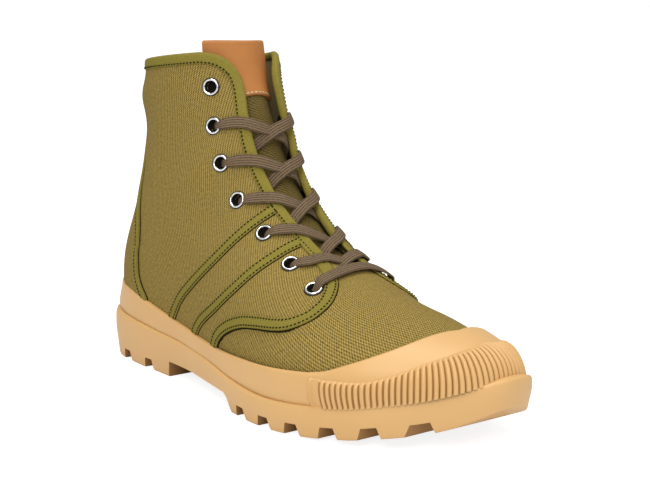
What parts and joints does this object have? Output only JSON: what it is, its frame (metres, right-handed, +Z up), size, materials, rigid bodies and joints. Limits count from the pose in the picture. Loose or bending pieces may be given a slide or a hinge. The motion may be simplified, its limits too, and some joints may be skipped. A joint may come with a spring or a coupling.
{
  "type": "canvas ankle boot",
  "caption": "Lace-up canvas ankle boot with a lugged rubber sole, rubber foxing, ribbed toe bumper, taped seams, metal eyelets, leather tongue tab and round ankle patch.",
  "frame": {"origin": "on the floor under the middle of the boot's bounding box", "axes": "+X from heel to toe, +Y to the medial (inner) side, +Z up"},
  "size_m": [0.2988, 0.1091, 0.1866],
  "materials": {
    "rubber": "caramel moulded rubber, satin",
    "canvas": "olive cotton duck, matt",
    "tape": "olive-green woven tape, matt",
    "leather": "tan leather, satin",
    "lace": "taupe flat woven lace, matt",
    "eyelet_metal": "pressed metal, bright",
    "insole_cloth": "cloth-covered insole, matt"
  },
  "bodies": {
    "root": {"ankle_patch": "leather", "backstay": "canvas", "collar_binding": "tape", "eyelet_lateral_1": "eyelet_metal", "eyelet_lateral_2": "eyelet_metal", "eyelet_lateral_3": "eyelet_metal", "eyelet_lateral_4": "eyelet_metal", "eyelet_lateral_5": "eyelet_metal", "eyelet_lateral_6": "eyelet_metal", "eyelet_lateral_7": "eyelet_metal", "eyelet_medial_1": "eyelet_metal", "eyelet_medial_2": "eyelet_metal", "eyelet_medial_3": "eyelet_metal", "eyelet_medial_4": "eyelet_metal", "eyelet_medial_5": "eyelet_metal", "eyelet_medial_6": "eyelet_metal", "eyelet_medial_7": "eyelet_metal", "foxing": "rubber", "insole": "insole_cloth", "lace_bar": "lace", "lace_crossing_1": "lace", "lace_crossing_2": "lace", "lace_crossing_3": "lace", "lace_crossing_4": "lace", "lace_crossing_5": "lace", "lower_band_lateral": "tape", "lower_band_medial": "tape", "outsole": "rubber", "quarter_tape_lateral": "tape", "quarter_tape_medial": "tape", "toe_bumper": "rubber", "toe_cap": "rubber", "tongue": "canvas", "tongue_tab": "leather", "upper": "canvas", "upper_band_lateral": "tape", "upper_band_medial": "tape"}
  },
  "joints": []
}
